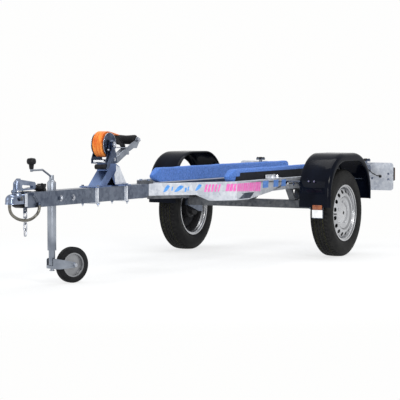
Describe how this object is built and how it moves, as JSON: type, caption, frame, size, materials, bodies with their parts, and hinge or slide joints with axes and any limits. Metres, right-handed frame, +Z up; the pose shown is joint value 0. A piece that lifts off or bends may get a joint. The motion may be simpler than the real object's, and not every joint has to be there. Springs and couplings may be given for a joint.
{
  "type": "boat trailer",
  "caption": "Small galvanised boat trailer with carpeted bunks, winch and bow stop, black mudguards, sliding light boards and a swivelling jockey wheel.",
  "frame": {"origin": "on the ground under the middle of the trailer, at the bottom centre of its bounding box", "axes": "+X forward towards the coupling, +Y to the trailer's left, +Z up"},
  "size_m": [3.746, 1.324, 0.82],
  "materials": {
    "tyre": "matte",
    "rim_silver": "satin",
    "hub_cast": "satin",
    "galvanised": "galvanised",
    "zinc_plated": "bright zinc",
    "winch_paint": "satin",
    "black_plastic": "matte",
    "cable_sheath": "satin",
    "mudguard_black": "gloss",
    "carpet_blue": "pile",
    "strap_orange": "woven",
    "roller_black": "matte",
    "marker_white": "gloss",
    "lamp_red": "gloss"
  },
  "bodies": {
    "frame": {"axle_beam": "galvanised", "axle_saddles": "galvanised", "bow_arm": "galvanised", "bow_yoke": "galvanised", "bunk_brackets": "galvanised", "bunk_left": "carpet_blue", "bunk_right": "carpet_blue", "chain_lugs": "galvanised", "coupling_head": "zinc_plated", "coupling_latch": "black_plastic", "coupling_pins": "zinc_plated", "crank_grip": "black_plastic", "cross_beams": "galvanised", "drawbar": "galvanised", "front_markers": "marker_white", "front_plates": "galvanised", "jockey_clamp": "galvanised", "jockey_crank": "galvanised", "jockey_knob": "black_plastic", "jockey_lock": "galvanised", "jockey_outer_tube": "galvanised", "lamp_sleeves": "galvanised", "mudguard_left": "mudguard_black", "mudguard_right": "mudguard_black", "mudguard_stays": "galvanised", "plug_holder": "galvanised", "plug_lead": "black_plastic", "rail_left": "galvanised", "rail_right": "galvanised", "safety_cable": "cable_sheath", "safety_chain": "galvanised", "stand_clamps": "galvanised", "strap_hook": "galvanised", "torsion_arms": "galvanised", "trailer_plug": "black_plastic", "winch_crank": "galvanised", "winch_drum": "zinc_plated", "winch_frame": "winch_paint", "winch_stand": "galvanised", "winch_strap": "strap_orange"},
    "wheel_left": {"tyre_left": "tyre", "rim_left": "rim_silver", "hub_left": "hub_cast"},
    "wheel_right": {"tyre_right": "tyre", "rim_right": "rim_silver", "hub_right": "hub_cast"},
    "jockey_leg": {"jockey_inner_tube": "galvanised"},
    "jockey_swivel": {"jockey_fork": "galvanised", "jockey_axle": "galvanised"},
    "jockey_wheel": {"jockey_tyre": "tyre", "jockey_rim": "galvanised"},
    "lever": {"coupling_lever": "zinc_plated"},
    "roller": {"bow_roller": "roller_black"},
    "light_left": {"lamp_arm_left": "galvanised", "lamp_plate_left": "galvanised", "lamp_left": "lamp_red"},
    "light_right": {"lamp_arm_right": "galvanised", "lamp_plate_right": "galvanised", "lamp_right": "lamp_red"}
  },
  "joints": [
    {"name": "wheel_left_spin", "type": "hinge", "parent": "frame", "child": "wheel_left", "pos_m": [-0.933, 0.558, 0.281], "axis": [0, 1, 0], "continuous": true},
    {"name": "wheel_right_spin", "type": "hinge", "parent": "frame", "child": "wheel_right", "pos_m": [-0.933, -0.558, 0.281], "axis": [0, 1, 0], "continuous": true},
    {"name": "jockey_raise", "type": "slide", "parent": "frame", "child": "jockey_leg", "axis": [0, 0, 1], "range_m": [-0.12, 0.04]},
    {"name": "jockey_turn", "type": "hinge", "parent": "jockey_leg", "child": "jockey_swivel", "pos_m": [1.363, -0.076, 0.092], "axis": [0, 0, 1], "continuous": true},
    {"name": "jockey_roll", "type": "hinge", "parent": "jockey_swivel", "child": "jockey_wheel", "pos_m": [1.24432, -0.02805, 0.098], "axis": [0.3746, 0.9272, 0], "continuous": true},
    {"name": "coupling_lift", "type": "hinge", "parent": "frame", "child": "lever", "pos_m": [1.799, 0, 0.5185], "axis": [0, 1, 0], "range_deg": [0, 40], "stiffness_Nm_per_rad": 2, "springref_deg": -17.19},
    {"name": "bow_roller_spin", "type": "hinge", "parent": "frame", "child": "roller", "pos_m": [0.726, 0, 0.768], "axis": [0, 1, 0], "continuous": true},
    {"name": "light_left_slide", "type": "slide", "parent": "frame", "child": "light_left", "axis": [-1, 0, 0], "range_m": [0, 0.18]},
    {"name": "light_right_slide", "type": "slide", "parent": "frame", "child": "light_right", "axis": [-1, 0, 0], "range_m": [0, 0.18]}
  ]
}
